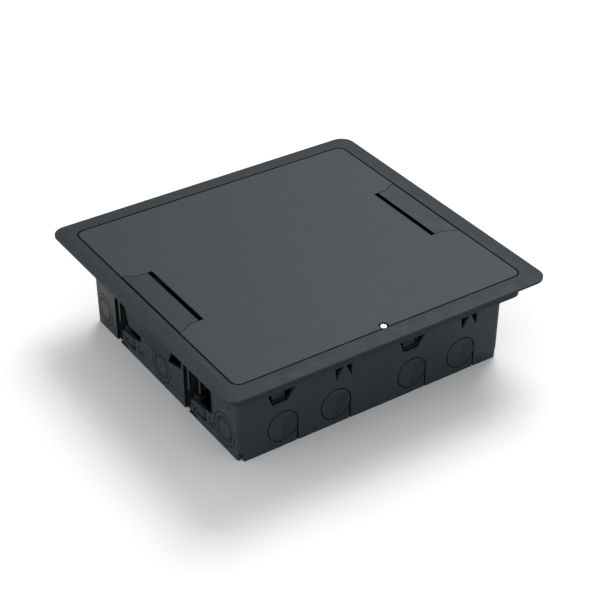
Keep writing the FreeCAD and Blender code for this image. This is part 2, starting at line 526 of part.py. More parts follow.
# ================================================================ clamps
def clamp(y0):
    ys = y0 - CL_U
    head = pan_screw(CL_AX, ys, ZS + 0.06, 3.9, 2.6, CL_R, 5.0)
    shank = cyl(CL_R, CL_AX, ys, -91.9, ZS + 91.9)
    screw = fuse(pan_screw(CL_AX, ys, ZS + 0.06, 3.9, 2.6, CL_R, 60.0), shank)
    # lift nut: round bush with a tail that slides between two rails
    zt, zb = -75.0, -88.6
    nut = fuse(cyl(3.4, CL_AX, ys, zb, zt - zb), cyl(4.6, CL_AX, ys, zt - 0.01, 1.5),
               box(CL_AX, -120.0 - 1.4, ys - 2.0, ys + 2.0, zt, zt + 1.49))
    nut = nut.cut(cyl(CL_R + RUN, CL_AX, ys, -100, 50))
    # claw: hub that turns on the bush, flat arm parked along the wall's face
    hub = cyl(5.3, CL_AX, ys, zb + 0.2, zt - zb - 0.3)
    x0, x1 = -139.9, -136.4
    arm = poly([(x0, y0 - 10.0, -90.5), (x0, y0 - 10.0, -77.2), (x0, y0 - 14.5, -76.6), (x0, y0 - 15.6, -75.2), (x0, y0 - 31.5, -74.4), (x0, y0 - 31.5, -84.6),
                (x0, y0 - 19.4, -84.9), (x0, y0 - 19.4, -90.5)], (x1 - x0, 0, 0))
    tip = cyl((x1 - x0) / 2.0, (x0 + x1) / 2.0, y0 - 31.5, -84.6, 10.2)
    web = box(-137.0, CL_AX, ys - 5.0, ys + 1.8, zb + 0.2, -77.2)
    claw = fuse(hub, arm, tip, web)
    claw = claw.cut(cyl(3.4 + RUN, CL_AX, ys, -100, 50))
    # Y-shaped relief in the arm's face
    def groove(a, b, w):
        (ua, za), (ub, zb_) = a, b
        L = math.hypot(ub - ua, zb_ - za)
        nx, nz = -(zb_ - za) / L * w / 2, (ub - ua) / L * w / 2
        return poly_yz([(y0 - (ua + nx), za + nz), (y0 - (ub + nx), zb_ + nz), (y0 - (ub - nx), zb_ - nz), (y0 - (ua - nx), za - nz)], x0 - 1, x0 + 1.6)
    claw = claw.cut([groove((12.2, -80.6), (16.6, -83.8), 1.5), groove((21.6, -79.2), (16.6, -83.8), 1.5), groove((16.6, -83.2), (15.2, -89.4), 1.5)])
    return screw, nut, claw

k = 0
for side in (0, 1):
    for y0 in CL_Y:
        k += 1
        s, n, c = clamp(y0)
        if side:
            s, n, c = c2(s), c2(n), c2(c)
        put("clamp_screw_%d" % k, s)
        put("clamp_nut_%d" % k, n)
        put("clamp_claw_%d" % k, c)

# ================================================================ inside
YS = [(-1.5 + i) * PITCH for i in range(4)]

def carrier(cx):
    p = rprism(62.0, 234.0, 4.0, CARR_Z - 2.0, CARR_Z, cx, 0)
    up = [box(cx - 31.0, cx - 29.0, -98.0, 98.0, CARR_Z - 10.0, CARR_Z - 1.0), box(cx + 29.0, cx + 31.0, -98.0, 98.0, CARR_Z - 10.0, CARR_Z - 1.0)]
    p = fuse(p, *up)
    c = [rprism(SOCK + 0.2, SOCK + 0.2, 0.6, CARR_Z - 20, CARR_Z + 5, cx, y) for y in YS]
    for dx in (-20.0, 20.0):
        for sy in (-1, 1):
            c.append(cyl(1.75, cx + dx, sy * 110.0, CARR_Z - 5, 10))
    return p.cut(c)

put("carrier_left", carrier(-CARR_X))
put("carrier_right", carrier(CARR_X))
put("carrier_screws", *[pan_screw(sx * CARR_X + dx, sy * 110.0, CARR_Z, 3.2, 2.0, 1.45, 11.0) for sx in (-1, 1) for dx in (-20.0, 20.0) for sy in (-1, 1)])

WELL_R, WELL_D = 19.4, 17.0          # round recess of a socket insert, and its depth
WELL_Z = CARR_Z + 1.6 - WELL_D

def socket(cx, y):
    """Socket insert's upper part: 45 mm square body with a round recess right through, and a flat bezel."""
    b = rprism(SOCK, SOCK, 0.5, WELL_Z, CARR_Z, cx, y)
    f = rprism(SOCK + 2.6, SOCK + 2.6, 1.6, CARR_Z, CARR_Z + 1.6, cx, y)
    return fuse(b, f).cut(cyl(WELL_R, cx, y, WELL_Z - 1, 30))

def socket_base(cx, y):
    """Socket insert's lower part: the recess's floor with two pin holes."""
    b = rprism(SOCK, SOCK, 0.5, CARR_Z - 29.5, WELL_Z, cx, y)
    return b.cut([cyl(2.5, cx + sg * 9.5, y, CARR_Z - 26.0, 30) for sg in (-1, 1)])

def socket_keys(cx, y):
    """Ribs that key the plug, on both sides of the recess."""
    c = cyl(WELL_R, cx, y, WELL_Z, WELL_D - 2.6)
    return [c.common(box(min(cx + sg * 15.6, cx + sg * 20.0), max(cx + sg * 15.6, cx + sg * 20.0), y - 3.2, y + 3.2, WELL_Z, CARR_Z)) for sg in (-1, 1)]

def earth(cx, y):
    """Sprung side earth contacts of one socket."""
    out = []
    for sg in (-1, 1):
        a = box(cx - 2.2, cx + 2.2, min(y + sg * 18.4, y + sg * 19.2), max(y + sg * 18.4, y + sg * 19.2), WELL_Z, CARR_Z - 2.2)
        b = box(cx - 2.2, cx + 2.2, min(y + sg * 16.8, y + sg * 19.0), max(y + sg * 16.8, y + sg * 19.0), WELL_Z, WELL_Z + 0.8)
        c = poly([(cx - 2.2, y + sg * 16.8, WELL_Z), (cx - 2.2, y + sg * 17.6, WELL_Z), (cx - 2.2, y + sg * 16.9, CARR_Z - 8.0), (cx - 2.2, y + sg * 16.1, CARR_Z - 8.0)], (4.4, 0, 0))
        out.append(fuse(a, b, c))
    return out

def data(cx, y):
    b = rprism(SOCK, SOCK, 0.5, CARR_Z - 24.0, CARR_Z, cx, y)
    f = rprism(SOCK + 2.6, SOCK + 2.6, 1.6, CARR_Z, CARR_Z + 1.6, cx, y)
    s = fuse(b, f)
    c = []
    for dx in (-10.5, 10.5):
        c.append(box(cx + dx - 6.1, cx + dx + 6.1, y - 4.2, y + 4.2, CARR_Z - 11.0, CARR_Z + 5))
        c.append(box(cx + dx - 3.0, cx + dx + 3.0, y - 6.4, y - 4.0, CARR_Z - 11.0, CARR_Z + 5))
    return s.cut(c)

put("sockets_left", *[socket(-CARR_X, y) for y in YS[1:]])
put("sockets_right", *[socket(CARR_X, y) for y in YS[1:]])
put("socket_bases_left", *[socket_base(-CARR_X, y) for y in YS[1:]])
put("socket_bases_right", *[socket_base(CARR_X, y) for y in YS[1:]])
sk = []
for sx in (-1, 1):
    for y in YS[1:]:
        sk += socket_keys(sx * CARR_X, y)
put("socket_keys", *sk)
ec = []
for sx in (-1, 1):
    for y in YS[1:]:
        ec += earth(sx * CARR_X, y)
put("earth_contacts", *ec)
put("data_left", data(-CARR_X, YS[0]))
put("data_right", data(CARR_X, YS[0]))

# divider between the power and the data side
dv = box(-1.2, 1.2, -124.0, 124.0, TUB_BOT + FLOOR_T, -44.0)
dv = dv.cut([box(-2, 2, -24 + d, 24 + d, -60, -40) for d in (-62, 62)])
put("divider", dv)

# earth terminal on the tub's floor
put("earth_terminal", box(6.0, 18.0, 91.5, 100.5, -87.5, -78.5).cut([cyl(1.3, 12.0, 96.0, -90, 20), cyl(2.2, 8.0, 90.0, -83.2, 12.0, V(0, 1, 0)).common(box(0, 9.0, 80, 110, -95, -70)), cyl(1.9, 15.4, 90.0, -83.2, 12.0, V(0, 1, 0))]))
put("earth_terminal_screw", pan_screw(12.0, 96.0, -78.5, 3.0, 1.9, 1.3, 11.0))

# ---------------------------------------------------------------- write the files
for name, shape in NODES.items():
    shape.exportStep("parts/%s.step" % name)
bb = Part.makeCompound(list(NODES.values())).BoundBox
print("nodes", len(NODES), "box", round(bb.XMin, 2), round(bb.XMax, 2), round(bb.YMin, 2), round(bb.YMax, 2), round(bb.ZMin, 2), round(bb.ZMax, 2))
for name, shape in NODES.items():
    print("%-22s solids %d  volume %.0f" % (name, len(shape.Solids), shape.Volume))
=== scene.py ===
import json
import math

import bmesh
import bpy
import numpy as np
from mathutils import Matrix, Vector


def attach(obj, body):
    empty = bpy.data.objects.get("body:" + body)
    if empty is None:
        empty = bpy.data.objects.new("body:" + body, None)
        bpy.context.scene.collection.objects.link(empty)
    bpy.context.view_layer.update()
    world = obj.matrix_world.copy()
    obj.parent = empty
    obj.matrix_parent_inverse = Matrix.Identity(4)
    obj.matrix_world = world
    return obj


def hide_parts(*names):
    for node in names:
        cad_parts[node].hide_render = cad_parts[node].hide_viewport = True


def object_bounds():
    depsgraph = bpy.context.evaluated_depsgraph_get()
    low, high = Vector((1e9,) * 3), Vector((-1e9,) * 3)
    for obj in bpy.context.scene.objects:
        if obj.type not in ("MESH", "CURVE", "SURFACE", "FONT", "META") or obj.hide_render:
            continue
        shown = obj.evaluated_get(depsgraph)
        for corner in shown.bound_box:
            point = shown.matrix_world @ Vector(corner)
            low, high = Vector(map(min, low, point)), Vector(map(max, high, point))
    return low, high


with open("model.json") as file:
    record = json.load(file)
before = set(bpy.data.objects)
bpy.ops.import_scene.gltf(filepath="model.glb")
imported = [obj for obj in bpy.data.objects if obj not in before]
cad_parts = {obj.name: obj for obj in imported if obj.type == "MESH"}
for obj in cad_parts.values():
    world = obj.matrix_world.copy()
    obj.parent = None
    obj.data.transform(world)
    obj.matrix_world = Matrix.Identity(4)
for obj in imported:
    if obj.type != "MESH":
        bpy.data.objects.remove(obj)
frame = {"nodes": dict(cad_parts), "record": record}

CAD_LO, CAD_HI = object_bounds()
N = frame["nodes"]
SLOT = {s["node"]: s["material_slot"] for s in frame["record"]["subparts"]}

# ------------------------------------------------------------------ camera
cam_data = bpy.data.cameras.new("camera")
cam = bpy.data.objects.new("camera", cam_data)
bpy.context.scene.collection.objects.link(cam)
cam_data.sensor_width = 36.0
cam_data.lens = 95.506
cam_data.clip_start, cam_data.clip_end = 0.05, 40.0
right = Vector((0.83202, -0.55475, 0.00057)).normalized()
fwd = Vector((0.45928, 0.68825, -0.56159)).normalized()
up = right.cross(fwd).normalized()
right = fwd.cross(up).normalized()
m = Matrix((right, up, -fwd)).transposed().to_4x4()
m.translation = Vector((-0.674377, -1.020361, 0.778335))
cam.matrix_world = m
bpy.context.scene.camera = cam
bpy.context.scene.view_settings.view_transform = "Standard"

# ------------------------------------------------------------------ material helpers


class Tree:
    def __init__(self, name):
        self.mat = bpy.data.materials.new(name)
        self.mat.use_nodes = True
        self.t = self.mat.node_tree
        self.t.nodes.clear()
        self.out = self.new("ShaderNodeOutputMaterial")
        self.p = self.new("ShaderNodeBsdfPrincipled")
        self.link(self.p.outputs["BSDF"], self.out.inputs["Surface"])
        self.obj = self.new("ShaderNodeTexCoord").outputs["Object"]
        self.geo = self.new("ShaderNodeNewGeometry")

    def new(self, kind, **kw):
        n = self.t.nodes.new(kind)
        for k, v in kw.items():
            setattr(n, k, v)
        return n

    def link(self, a, b):
        self.t.links.new(a, b)

    def put(self, socket, v):
        if hasattr(v, "is_output"):
            self.link(v, socket)
        else:
            socket.default_value = v

    def math(self, op, a, b=0.0, c=0.0, clamp=False):
        n = self.new("ShaderNodeMath", operation=op, use_clamp=clamp)
        self.put(n.inputs[0], a)
        self.put(n.inputs[1], b)
        self.put(n.inputs[2], c)
        return n.outputs[0]

    def noise(self, scale, detail=2.0, rough=0.5, vec=None, dist=0.0):
        n = self.new("ShaderNodeTexNoise", noise_dimensions="3D")
        n.inputs["Scale"].default_value = scale
        n.inputs["Detail"].default_value = detail
        n.inputs["Roughness"].default_value = rough
        n.inputs["Distortion"].default_value = dist
        self.link(vec or self.obj, n.inputs["Vector"])
        return n.outputs[0]

    def voronoi(self, scale, out="Distance", feature="F1", vec=None):
        n = self.new("ShaderNodeTexVoronoi", feature=feature)
        n.inputs["Scale"].default_value = scale
        self.link(vec or self.obj, n.inputs["Vector"])
        return n.outputs[out]

    def ramp(self, v, a, b, lo=0.0, hi=1.0, smooth=True):
        n = self.new("ShaderNodeMapRange", clamp=True)
        if smooth:
            n.interpolation_type = "SMOOTHSTEP"
        self.put(n.inputs[0], v)
        for i, x in enumerate((a, b, lo, hi)):
            n.inputs[1 + i].default_value = x
        return n.outputs[0]

    def mix(self, f, a, b):
        n = self.new("ShaderNodeMix", data_type="RGBA")
        self.put(n.inputs[0], f)
        for i, v in ((6, a), (7, b)):
            if isinstance(v, (tuple, list)):
                n.inputs[i].default_value = (*v[:3], 1.0)
            else:
                self.link(v, n.inputs[i])
        return n.outputs[2]

    def xyz(self, v):
        n = self.new("ShaderNodeSeparateXYZ")
        self.link(v, n.inputs[0])
        return n.outputs

    def soft_normal(self, radius, samples=4):
        n = self.new("ShaderNodeBevel")
        n.samples = samples
        n.inputs["Radius"].default_value = radius
        return n.outputs[0]

    def edges(self, radius, gain):
        """0 on flat ground, rising to 1 along sharp edges."""
        b = self.soft_normal(radius, 4)
        d = self.new("ShaderNodeVectorMath", operation="DOT_PRODUCT")
        self.link(b, d.inputs[0])
        self.link(self.geo.outputs["Normal"], d.inputs[1])
        e = self.math("SUBTRACT", 1.0, d.outputs["Value"])
        return self.math("MULTIPLY", e, gain, clamp=True)

    def bump(self, h, strength, dist, normal=None):
        n = self.new("ShaderNodeBump")
        n.inputs["Strength"].default_value = strength
        n.inputs["Distance"].default_value = dist
        self.link(h, n.inputs["Height"])
        if normal is not None:
            self.link(normal, n.inputs["Normal"])
        return n.outputs[0]

    def finish(self, color, rough, normal=None, metallic=0.0, spec=None, coat=None):
        self.put(self.p.inputs["Base Color"], color if hasattr(color, "is_output") else (*color, 1.0))
        self.put(self.p.inputs["Roughness"], rough)
        self.p.inputs["Metallic"].default_value = metallic
        if spec is not None:
            self.p.inputs["Specular IOR Level"].default_value = spec
        if coat is not None:
            self.p.inputs["Coat Weight"].default_value = coat[0]
            self.p.inputs["Coat Roughness"].default_value = coat[1]
        if normal is not None:
            self.link(normal, self.p.inputs["Normal"])
        return self.mat


def scaled(c, k):
    return tuple(x * k for x in c)


def moulded(name, c, rough=0.5, grain=1500.0, amount=0.25, depth=0.00006, round_r=0.0004, wear=0.35, spec=0.45, pattern=None, variation=0.04, dusty=0.03, groove=0.0, cuts=None, rough_var=0.05):
    """Injection-moulded plastic: spark-eroded grain, faint flow marks, rubbed edges and a little dust, with optional
    painted shade in the joints round the lid and in the cut openings of the walls.
    """
    t = Tree(name)
    flow = t.noise(7.0, 3.0, 0.55, dist=0.6)
    mottle = t.noise(60.0, 4.0, 0.6)
    fine = t.noise(grain, 3.0, 0.6)
    tone = t.math("ADD", t.math("MULTIPLY", flow, 0.65), t.math("MULTIPLY", mottle, 0.35))
    body = t.mix(t.ramp(tone, 0.3, 0.7), scaled(c, 1.0 - variation), scaled(c, 1.0 + variation))
    body = t.mix(t.ramp(fine, 0.35, 0.7, 0.0, 0.22), body, scaled(c, 1.35))
    edge = t.edges(0.0007, 3.2)
    broken = t.math("MULTIPLY", edge, t.ramp(t.noise(420.0, 3.0, 0.7), 0.35, 0.62), clamp=True)
    body = t.mix(t.math("MULTIPLY", broken, wear), body, scaled(c, 1.9))
    nz = t.xyz(t.geo.outputs["Normal"])[2]
    dust = t.math("MULTIPLY", t.ramp(nz, 0.6, 1.0), t.ramp(t.noise(90.0, 6.0, 0.65), 0.52, 0.78, 0.0, dusty))
    body = t.mix(dust, body, (0.30, 0.30, 0.29))
    if groove > 0.0:
        # painted shade: the joints between lid, flaps and frame are darkened, lips and walls almost to black, to stand
        # in for the shadow down in the gaps
        x, y, z = t.xyz(t.obj)
        far = t.math("MAXIMUM", t.math("DIVIDE", t.math("ABSOLUTE", x), 0.1535), t.math("DIVIDE", t.math("ABSOLUTE", y), 0.1450))
        inner = t.ramp(far, 0.995, 1.0, 1.0, 0.0, smooth=False)
        lip = t.math("MULTIPLY", t.edges(groove, 14.0), t.ramp(z, -0.004, -0.002))
        wall = t.math("MULTIPLY", t.ramp(nz, 0.35, 0.75, 1.0, 0.0), t.ramp(z, -0.0200, -0.0120))
        # distance from the middle of the gap round the lid, a rectangle with round corners
        qx = t.math("SUBTRACT", t.math("ABSOLUTE", x), GAP_HX - GAP_R)
        qy = t.math("SUBTRACT", t.math("ABSOLUTE", y), GAP_HY - GAP_R)
        ox, oy = t.math("MAXIMUM", qx, 0.0), t.math("MAXIMUM", qy, 0.0)
        corner = t.math("SQRT", t.math("ADD", t.math("MULTIPLY", ox, ox), t.math("MULTIPLY", oy, oy)))
        d = t.math("ADD", corner, t.math("SUBTRACT", t.math("MINIMUM", t.math("MAXIMUM", qx, qy), 0.0), GAP_R))
        line = t.math("MULTIPLY", t.ramp(t.math("ABSOLUTE", d), 0.00085, 0.0013, 1.0, 0.0), t.ramp(z, -0.004, -0.002))
        gap_shade = t.math("MULTIPLY", t.math("MAXIMUM", line, t.math("MAXIMUM", lip, wall)), inner)
        # painted shade in the gaps: the colour drops to 4 % under the mask
        body = t.mix(t.math("MULTIPLY", gap_shade, 0.94, clamp=True), body, scaled(c, 0.04))
    if cuts is not None:
        # painted shade: the score lines of the knockouts and the cut faces of the openings, which lie just inside the
        # walls' outer faces, are darkened to stand in for the shade in them, and their outer lips a little
        hx, hy, thick = cuts
        x, y, z = t.xyz(t.obj)
        draft = t.math("MULTIPLY", t.math("ADD", z, 0.0935), TUB_SLOPE)
        dx = t.math("SUBTRACT", t.math("ADD", draft, hx), t.math("ABSOLUTE", x))
        dy = t.math("SUBTRACT", t.math("ADD", draft, hy), t.math("ABSOLUTE", y))
        d = t.math("MINIMUM", dx, dy)
        inside = t.math("MULTIPLY", t.ramp(d, 0.00045, 0.0006), t.ramp(d, thick - 0.0003, thick - 0.0001, 1.0, 0.0))
        outer = t.math("MULTIPLY", t.ramp(d, 0.0001, 0.0003, 1.0, 0.0), t.ramp(z, -0.0925, -0.0915))
        lip = t.math("MULTIPLY", t.edges(0.0007, 9.0), outer)
        # on the long walls each knockout's score line is darkened only over its upper right and lower left quarters,
        # where the shade falls under this light
        side = t.math("MULTIPLY", t.math("SIGN", y), -1.0)
        u = t.math("ADD", t.math("MULTIPLY", x, side), 0.0009)
        au = t.math("ABSOLUTE", u)
        v = t.math("SUBTRACT", t.math("ABSOLUTE", t.math("SUBTRACT", au, 0.0686)), 0.0275)
        local = t.math("MULTIPLY", v, t.math("MULTIPLY", t.math("SIGN", t.math("SUBTRACT", au, 0.0686)), t.math("SIGN", u)))
        quarter = t.ramp(t.math("MULTIPLY", local, t.math("ADD", z, 0.072)), -0.00001, 0.00003)
        long_wall = t.math("LESS_THAN", dy, dx)
        keep = t.math("MAXIMUM", t.math("SUBTRACT", 1.0, long_wall), t.math("MAXIMUM", quarter, t.ramp(d, 0.0012, 0.0014)))
        low = t.math("MULTIPLY", t.ramp(z, -0.050, -0.047, 1.0, 0.0), t.ramp(t.math("MAXIMUM", dx, dy), 0.0070, 0.0080))
        inside = t.math("MULTIPLY", inside, t.math("MULTIPLY", keep, low))
        lip = t.math("MULTIPLY", lip, t.math("MULTIPLY", keep, low))
        cut_shade = t.math("MAXIMUM", inside, t.math("MULTIPLY", lip, 0.8))
        # painted shade in the cuts: the colour drops to 5 % under the mask
        body = t.mix(t.math("MULTIPLY", cut_shade, 0.85, clamp=True), body, scaled(c, 0.05))
    r = t.ramp(mottle, 0.3, 0.7, rough - rough_var, rough + rough_var)
    r = t.math("SUBTRACT", r, t.math("MULTIPLY", broken, 0.10))
    normal = t.soft_normal(round_r, 4)
    height = fine
    if pattern is not None:
        normal = t.bump(pattern(t), 1.0, 1.0, normal)
    normal = t.bump(height, amount, depth, normal)
    return t.finish(body, r, normal, spec=spec)


def diamond_grain(pitch, height):
    """Anti-slip grain: low pyramids on two diagonals, on upward faces only."""

    def make(t):
        x, y, z = t.xyz(t.obj)
        a = t.math("MULTIPLY", t.math("ADD", x, y), 0.70711)
        b = t.math("MULTIPLY", t.math("SUBTRACT", x, y), 0.70711)
        pa = t.math("PINGPONG", a, pitch / 2.0)
        pb = t.math("PINGPONG", b, pitch / 2.0)
        h = t.math("MINIMUM", pa, pb)
        h = t.math("DIVIDE", h, pitch / 2.0)
        h = t.ramp(h, 0.06, 0.75)
        top = t.ramp(t.xyz(t.geo.outputs["Normal"])[2], 0.97, 0.999)
        lvl = t.ramp(z, -0.00060, -0.00008)
        return t.math("MULTIPLY", t.math("MULTIPLY", h, t.math("MULTIPLY", top, lvl)), height)

    return make


def galvanised(name, c=(0.42, 0.435, 0.45)):
    t = Tree(name)
    warp = t.new("ShaderNodeVectorMath", operation="ADD")
    n = t.new("ShaderNodeTexNoise")
    n.inputs["Scale"].default_value = 90.0
    t.link(t.obj, n.inputs["Vector"])
    sc = t.new("ShaderNodeVectorMath", operation="SCALE")
    sc.inputs["Scale"].default_value = 0.006
    t.link(n.outputs["Color"], sc.inputs[0])
    t.link(t.obj, warp.inputs[0])
    t.link(sc.outputs[0], warp.inputs[1])
    cell = t.new("ShaderNodeTexVoronoi")
    cell.inputs["Scale"].default_value = 330.0
    t.link(warp.outputs[0], cell.inputs["Vector"])
    g = t.new("ShaderNodeSeparateColor")
    t.link(cell.outputs["Color"], g.inputs[0])
    body = t.mix(t.ramp(g.outputs[0], 0.0, 1.0), scaled(c, 0.90), scaled(c, 1.06))
    edge = t.edges(0.0005, 2.5)
    body = t.mix(t.math("MULTIPLY", edge, 0.5), body, scaled(c, 1.35))
    r = t.ramp(g.outputs[1], 0.0, 1.0, 0.33, 0.44)
    nrm = t.bump(t.noise(700.0, 3.0), 0.15, 0.00004, t.soft_normal(0.0003))
    return t.finish(body, r, nrm, metallic=1.0)


def metal(name, c, rough, scratch=0.2, wear=0.3, grain=900.0):
    t = Tree(name)
    mott = t.noise(180.0, 4.0, 0.6)
    mp = t.new("ShaderNodeMapping")
    mp.inputs["Scale"].default_value = (300.0, 2600.0, 300.0)
    t.link(t.obj, mp.inputs["Vector"])
    brush = t.noise(1.0, 2.0, 0.5, vec=mp.outputs[0])
    body = t.mix(t.ramp(mott, 0.3, 0.7), scaled(c, 0.86), scaled(c, 1.08))
    edge = t.edges(0.0004, 2.5)
    body = t.mix(t.math("MULTIPLY", edge, wear), body, scaled(c, 1.3))
    r = t.math("ADD", t.ramp(mott, 0.3, 0.7, rough - 0.06, rough + 0.06), t.math("MULTIPLY", brush, scratch * 0.2))
    nrm = t.bump(t.math("ADD", t.noise(grain, 3.0), brush), 0.12, 0.00003, t.soft_normal(0.0002))
    return t.finish(body, r, nrm, metallic=1.0)


def gloss_white(name, c=(0.70, 0.70, 0.675)):
    t = Tree(name)
    body = t.mix(t.ramp(t.noise(22.0, 3.0), 0.3, 0.7), scaled(c, 0.965), scaled(c, 1.02))
    edge = t.edges(0.0007, 2.5)
    body = t.mix(t.math("MULTIPLY", edge, 0.25), body, scaled(c, 1.1))
    body = t.mix(t.ramp(t.noise(50.0, 6.0, 0.7), 0.58, 0.8, 0.0, 0.18), body, (0.45, 0.43, 0.39))
    r = t.ramp(t.noise(150.0, 4.0), 0.3, 0.7, 0.22, 0.32)
    nrm = t.bump(t.noise(260.0, 2.0), 0.08, 0.00004, t.soft_normal(0.0005))
    return t.finish(body, r, nrm, spec=0.5)


def foam_mat(name, c=(0.022, 0.022, 0.024)):
    t = Tree(name)
    pores = t.voronoi(1300.0)
    body = t.mix(t.ramp(pores, 0.1, 0.6), scaled(c, 0.5), scaled(c, 1.8))
    nrm = t.bump(t.math("ADD", t.ramp(pores, 0.0, 0.6), t.noise(500.0, 4.0)), 0.8, 0.00025, t.soft_normal(0.0006))
    return t.finish(body, t.ramp(pores, 0.0, 0.7, 0.85, 0.97), nrm, spec=0.2)


# the middle of the gap round the lid, and the tub's walls, as the CAD has them (m)
GAP_HX, GAP_HY, GAP_R = 0.150450, 0.141400, 0.008450
TUB_HX, TUB_HY, TUB_T, TUB_SLOPE = 0.140300, 0.129200, 0.002600, 0.009722
GREY = (0.0272, 0.0335, 0.0382)
MATS = {
    "tub_plastic": moulded("tub_plastic", scaled(GREY, 0.80), rough=0.46, grain=1250.0, amount=0.35, depth=0.00008, spec=0.18, wear=0.12, cuts=(TUB_HX, TUB_HY, TUB_T)),
    "frame_plastic": moulded("frame_plastic", scaled(GREY, 0.82), rough=0.48, grain=1700.0, amount=0.30, spec=0.08, wear=0.12, groove=0.0009),
    "lid_plastic": moulded("lid_plastic", scaled(GREY, 0.92), rough=0.52, grain=1700.0, amount=0.22, spec=0.16, wear=0.0, groove=0.0010, variation=0.012, dusty=0.008, rough_var=0.015, pattern=diamond_grain(0.0024, 0.000035)),
    "flap_plastic": moulded("flap_plastic", scaled(GREY, 0.74), rough=0.45, grain=2200.0, amount=0.12, spec=0.12, wear=0.0, groove=0.0010, variation=0.02, dusty=0.012),
    "claw_plastic": moulded("claw_plastic", scaled(GREY, 0.78), rough=0.56, grain=900.0, amount=0.45, depth=0.0001, spec=0.18),
    "divider_plastic": moulded("divider_plastic", scaled(GREY, 1.8), rough=0.52, grain=1300.0, amount=0.30, spec=0.25),
    "socket_plastic": gloss_white("socket_plastic"),
    "galvanised": galvanised("galvanised"),
    "zinc_steel": metal("zinc_steel", (0.52, 0.53, 0.54), 0.32),
    "black_steel": metal("black_steel", (0.045, 0.046, 0.05), 0.42, wear=0.8),
    "lock_chrome": metal("lock_chrome", (0.50, 0.50, 0.49), 0.34, scratch=0.1),
    "contact_brass": metal("contact_brass", (0.60, 0.43, 0.19), 0.30),
    "foam": foam_mat("foam"),
}

NUT = metal("nut_brass", (0.085, 0.062, 0.030), 0.45)
for name, obj in N.items():
    mat = NUT if name.startswith("clamp_nut") else MATS[SLOT[name]]
    me = obj.data
    me.materials.clear()
    me.materials.append(mat)
    for p in me.polygons:
        p.material_index = 0

# ------------------------------------------------------------------ mesh helpers


def obj_from(bm, name, mat, smooth_deg=35.0):
    bmesh.ops.recalc_face_normals(bm, faces=bm.faces)
    me = bpy.data.meshes.new(name)
    bm.to_mesh(me)
    bm.free()
    me.materials.append(mat)
    o = bpy.data.objects.new(name, me)
    bpy.context.scene.collection.objects.link(o)
    for p in me.polygons:
        p.use_smooth = True
    me.set_sharp_from_angle(angle=math.radians(smooth_deg))
    return o


def bar(bm, x0, x1, y0, y1, z0, z1):
    """A small rounded bar: a box with its long edges broken."""
    r = min(abs(x1 - x0), abs(y1 - y0), abs(z1 - z0)) * 0.28
    sub = bmesh.new()
    bmesh.ops.create_cube(sub, size=1.0)
    for v in sub.verts:
        v.co = Vector(((x0 + x1) / 2 + v.co.x * (x1 - x0), (y0 + y1) / 2 + v.co.y * (y1 - y0), (z0 + z1) / 2 + v.co.z * (z1 - z0)))
    bmesh.ops.bevel(sub, geom=sub.edges[:], offset=r, segments=2, affect="EDGES", profile=0.6)
    me = bpy.data.meshes.new("tmp")
    sub.to_mesh(me)
    sub.free()
    bm.from_mesh(me)
    bpy.data.meshes.remove(me)


def revolve(bm, profile, cx, cy, seg=40):
    """Closed profile of (r, z) points turned about a vertical axis."""
    rings = []
    for r, z in profile:
        if r < 1e-7:
            rings.append([bm.verts.new((cx, cy, z))])
        else:
            rings.append([bm.verts.new((cx + r * math.cos(2 * math.pi * i / seg), cy + r * math.sin(2 * math.pi * i / seg), z)) for i in range(seg)])
    for a, b in zip(rings, rings[1:]):
        for i in range(seg):
            j = (i + 1) % seg
            if len(a) == 1 and len(b) == 1:
                continue
            if len(a) == 1:
                bm.faces.new((a[0], b[i], b[j]))
            elif len(b) == 1:
                bm.faces.new((a[i], a[j], b[0]))
            else:
                bm.faces.new((a[i], a[j], b[j], b[i]))


MM = 0.001

# ------------------------------------------------------------------ clamp screws with a rolled thread
CL_Y = (88.7, -36.9)
ZS = -19.5


def threaded(bm, cx, cy, z0, z1, r_out, r_in, pitch, seg=28, dz=0.156):
    """Single-start thread between z0 (bottom) and z1 (top), with closed ends."""
    n = int(round((z1 - z0) / dz))
    rings = []
    for k in range(n + 1):
        z = z0 + (z1 - z0) * k / n
        ring = []
        fade = min(1.0, (z - z0) / 1.6, (z1 - z) / 0.8)
        for i in range(seg):
            th = 2 * math.pi * i / seg
            ph = (z / pitch - th / (2 * math.pi)) % 1.0
            tri = 1.0 - abs(2.0 * ph - 1.0)
            h = min(1.0, max(0.0, (tri - 0.12) / 0.66))
            top = r_in + (r_out - r_in) * h
            r = r_in + (top - r_in) * max(0.0, fade)
            ring.append(bm.verts.new(((cx + r * math.cos(th)) * MM, (cy + r * math.sin(th)) * MM, z * MM)))
        rings.append(ring)
    for a, b in zip(rings, rings[1:]):
        for i in range(seg):
            j = (i + 1) % seg
            bm.faces.new((a[i], a[j], b[j], b[i]))
    bm.faces.new(list(reversed(rings[0])))
    bm.faces.new(rings[-1])


